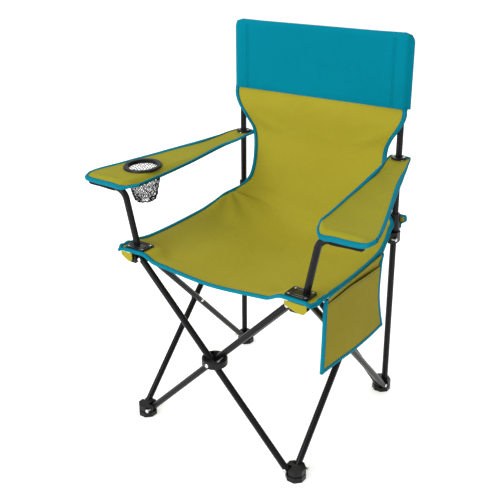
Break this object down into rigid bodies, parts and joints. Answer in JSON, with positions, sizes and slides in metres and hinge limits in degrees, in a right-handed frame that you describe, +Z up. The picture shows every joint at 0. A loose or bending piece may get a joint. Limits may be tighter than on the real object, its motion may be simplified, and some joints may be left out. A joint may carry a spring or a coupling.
{
  "type": "folding camp chair",
  "caption": "Folding camp chair with a four-sided scissor frame, fabric seat, back and arms, a net cup holder and a side pocket.",
  "frame": {"origin": "on the floor, midway between the four feet", "axes": "+Z up, the sitter faces -Y, +X is the side with the pocket, the cup holder is at -X"},
  "size_m": [0.73, 0.4926, 0.903],
  "materials": {
    "black_tube": "satin black powder coat",
    "black_plastic": "moulded black plastic, fine texture",
    "rivet_steel": "bright zinc",
    "black_net": "open polyester net",
    "teal_cloth": "woven polyester",
    "green_cloth": "woven polyester"
  },
  "bodies": {
    "rear_right": {"post_right": "black_tube", "post_cap_right": "black_plastic", "foot_rear_right": "black_plastic", "rivets_foot_rear_right": "rivet_steel", "back_panel": "green_cloth", "header_band": "teal_cloth"},
    "rear_left": {"post_left": "black_tube", "post_cap_left": "black_plastic", "foot_rear_left": "black_plastic", "rivets_foot_rear_left": "rivet_steel"},
    "front_right_foot": {"foot_front_right": "black_plastic", "rivets_foot_front_right": "rivet_steel"},
    "front_left_foot": {"foot_front_left": "black_plastic", "rivets_foot_front_left": "rivet_steel"},
    "bracket_right": {"bracket_right": "black_plastic", "rivets_bracket_right": "rivet_steel", "corner_plate_right": "black_plastic", "plate_rivets_right": "rivet_steel", "arm_post_right": "black_tube", "corner_tab_right": "green_cloth", "seat_edge_right": "green_cloth", "side_pocket": "green_cloth"},
    "bracket_left": {"bracket_left": "black_plastic", "rivets_bracket_left": "rivet_steel", "corner_plate_left": "black_plastic", "plate_rivets_left": "rivet_steel", "arm_post_left": "black_tube", "corner_tab_left": "green_cloth", "seat_edge_left": "green_cloth"},
    "slider_right": {"slider_right": "black_plastic", "rivets_slider_right": "rivet_steel", "seat_ear_right": "green_cloth"},
    "slider_left": {"slider_left": "black_plastic", "rivets_slider_left": "rivet_steel", "seat_ear_left": "green_cloth"},
    "tube_right_outer": {"tube_right_outer": "black_tube", "rivet_side_right": "rivet_steel"},
    "tube_right_inner": {"tube_right_inner": "black_tube"},
    "tube_front_outer": {"tube_front_outer": "black_tube"},
    "tube_front_inner": {"tube_front_inner": "black_tube"},
    "tube_rear_outer": {"tube_rear_outer": "black_tube"},
    "tube_rear_inner": {"tube_rear_inner": "black_tube"},
    "tube_left_outer": {"tube_left_outer": "black_tube", "rivet_side_left": "rivet_steel"},
    "tube_left_inner": {"tube_left_inner": "black_tube"},
    "hub_front": {"hub_front": "black_plastic", "rivet_hub_front": "rivet_steel"},
    "hub_rear": {"hub_rear": "black_plastic", "rivet_hub_rear": "rivet_steel"},
    "seat_left": {"seat_left": "green_cloth"},
    "seat_right": {"seat_right": "green_cloth"},
    "arm_left": {"armrest_left": "green_cloth", "cup_ring": "black_plastic", "cup_net": "black_net"},
    "arm_right": {"armrest_right": "green_cloth"},
    "eyelet_left": {"eyelet_left": "black_plastic", "eyelet_rivets_left": "rivet_steel"},
    "eyelet_right": {"eyelet_right": "black_plastic", "eyelet_rivets_right": "rivet_steel"}
  },
  "joints": [
    {"name": "fold", "type": "hinge", "parent": "rear_right", "child": "tube_right_outer", "pos_m": [0.223, 0.195, 0.021], "axis": [-1, 0, 0], "range_deg": [0, 40.1], "deforming": ["back_panel", "header_band", "seat_left", "seat_right", "seat_edge_left", "seat_edge_right", "armrest_left", "armrest_right", "side_pocket"]},
    {"name": "right_scissor", "type": "hinge", "parent": "tube_right_outer", "child": "tube_right_inner", "pos_m": [0.215, 0, 0.221], "axis": [-1, 0, 0], "range_deg": [-80.22, 0]},
    {"name": "slider_right_pivot", "type": "hinge", "parent": "tube_right_inner", "child": "slider_right", "pos_m": [0.207, 0.195, 0.421], "axis": [-1, 0, 0], "range_deg": [0, 40.12]},
    {"name": "foot_front_right_pivot", "type": "hinge", "parent": "tube_right_inner", "child": "front_right_foot", "pos_m": [0.207, -0.195, 0.021], "axis": [-1, 0, 0], "range_deg": [0, 40.12]},
    {"name": "bracket_right_pivot", "type": "hinge", "parent": "tube_right_outer", "child": "bracket_right", "pos_m": [0.223, -0.195, 0.421], "axis": [-1, 0, 0], "range_deg": [-40.12, 0]},
    {"name": "front_outer_pivot", "type": "hinge", "parent": "front_right_foot", "child": "tube_front_outer", "pos_m": [0.195, -0.223, 0.021], "axis": [0, 1, 0], "range_deg": [0, 40.12]},
    {"name": "front_scissor", "type": "hinge", "parent": "tube_front_outer", "child": "tube_front_inner", "pos_m": [0, -0.215, 0.221], "axis": [0, 1, 0], "range_deg": [-80.22, 0]},
    {"name": "bracket_left_pivot", "type": "hinge", "parent": "tube_front_outer", "child": "bracket_left", "pos_m": [-0.195, -0.223, 0.421], "axis": [0, 1, 0], "range_deg": [-40.12, 0]},
    {"name": "foot_front_left_pivot", "type": "hinge", "parent": "tube_front_inner", "child": "front_left_foot", "pos_m": [-0.195, -0.207, 0.021], "axis": [0, 1, 0], "range_deg": [0, 40.12]},
    {"name": "hub_front_pivot", "type": "hinge", "parent": "tube_front_outer", "child": "hub_front", "pos_m": [0, -0.215, 0.221], "axis": [0, 1, 0], "range_deg": [-40.12, 0]},
    {"name": "rear_inner_pivot", "type": "hinge", "parent": "rear_right", "child": "tube_rear_inner", "pos_m": [0.195, 0.207, 0.021], "axis": [0, -1, 0], "range_deg": [-40.12, 0]},
    {"name": "rear_scissor", "type": "hinge", "parent": "tube_rear_inner", "child": "tube_rear_outer", "pos_m": [0, 0.215, 0.221], "axis": [0, -1, 0], "range_deg": [0, 80.22]},
    {"name": "foot_rear_left_pivot", "type": "hinge", "parent": "tube_rear_outer", "child": "rear_left", "pos_m": [-0.195, 0.223, 0.021], "axis": [0, -1, 0], "range_deg": [-40.12, 0]},
    {"name": "slider_left_pivot", "type": "hinge", "parent": "tube_rear_inner", "child": "slider_left", "pos_m": [-0.195, 0.207, 0.421], "axis": [0, -1, 0], "range_deg": [0, 40.12]},
    {"name": "hub_rear_pivot", "type": "hinge", "parent": "tube_rear_inner", "child": "hub_rear", "pos_m": [0, 0.215, 0.221], "axis": [0, -1, 0], "range_deg": [0, 40.12]},
    {"name": "left_outer_pivot", "type": "hinge", "parent": "front_left_foot", "child": "tube_left_outer", "pos_m": [-0.223, -0.195, 0.021], "axis": [1, 0, 0], "range_deg": [0, 40.12]},
    {"name": "left_inner_pivot", "type": "hinge", "parent": "rear_left", "child": "tube_left_inner", "pos_m": [-0.207, 0.195, 0.021], "axis": [1, 0, 0], "range_deg": [-40.12, 0]},
    {"name": "seat_left_fold", "type": "hinge", "parent": "bracket_left", "child": "seat_left", "pos_m": [-0.185, 0, 0.4384], "axis": [0, 1, 0], "range_deg": [0, 80.22]},
    {"name": "seat_right_fold", "type": "hinge", "parent": "bracket_right", "child": "seat_right", "pos_m": [0.185, 0, 0.4384], "axis": [0, -1, 0], "range_deg": [0, 80.22]},
    {"name": "arm_left_fold", "type": "hinge", "parent": "bracket_left", "child": "arm_left", "pos_m": [-0.295, -0.212, 0.581], "axis": [-1, 0, 0], "range_deg": [0, 54.96]},
    {"name": "arm_right_fold", "type": "hinge", "parent": "bracket_right", "child": "arm_right", "pos_m": [0.295, -0.212, 0.581], "axis": [-1, 0, 0], "range_deg": [0, 54.96]},
    {"name": "eyelet_left_slide", "type": "slide", "parent": "rear_left", "child": "eyelet_left", "axis": [0, 0, 1], "range_m": [0, 0.0401]},
    {"name": "eyelet_right_slide", "type": "slide", "parent": "rear_right", "child": "eyelet_right", "axis": [0, 0, 1], "range_m": [0, 0.0401]}
  ],
  "couplings": [
    {"joint": "right_scissor", "follows": "fold", "ratio": -2},
    {"joint": "slider_right_pivot", "follows": "fold", "ratio": 1},
    {"joint": "foot_front_right_pivot", "follows": "fold", "ratio": 1},
    {"joint": "bracket_right_pivot", "follows": "fold", "ratio": -1},
    {"joint": "front_outer_pivot", "follows": "fold", "ratio": 1},
    {"joint": "front_scissor", "follows": "fold", "ratio": -2},
    {"joint": "bracket_left_pivot", "follows": "fold", "ratio": -1},
    {"joint": "foot_front_left_pivot", "follows": "fold", "ratio": 1},
    {"joint": "hub_front_pivot", "follows": "fold", "ratio": -1},
    {"joint": "rear_inner_pivot", "follows": "fold", "ratio": -1},
    {"joint": "rear_scissor", "follows": "fold", "ratio": 2},
    {"joint": "foot_rear_left_pivot", "follows": "fold", "ratio": -1},
    {"joint": "slider_left_pivot", "follows": "fold", "ratio": 1},
    {"joint": "hub_rear_pivot", "follows": "fold", "ratio": 1},
    {"joint": "left_outer_pivot", "follows": "fold", "ratio": 1},
    {"joint": "left_inner_pivot", "follows": "fold", "ratio": -1},
    {"joint": "seat_left_fold", "follows": "fold", "ratio": 2},
    {"joint": "seat_right_fold", "follows": "fold", "ratio": 2},
    {"joint": "arm_left_fold", "follows": "fold", "ratio": 1.37},
    {"joint": "arm_right_fold", "follows": "fold", "ratio": 1.37},
    {"joint": "eyelet_left_slide", "follows": "fold", "m_per_rad": 0.057153},
    {"joint": "eyelet_right_slide", "follows": "fold", "m_per_rad": 0.057153}
  ]
}
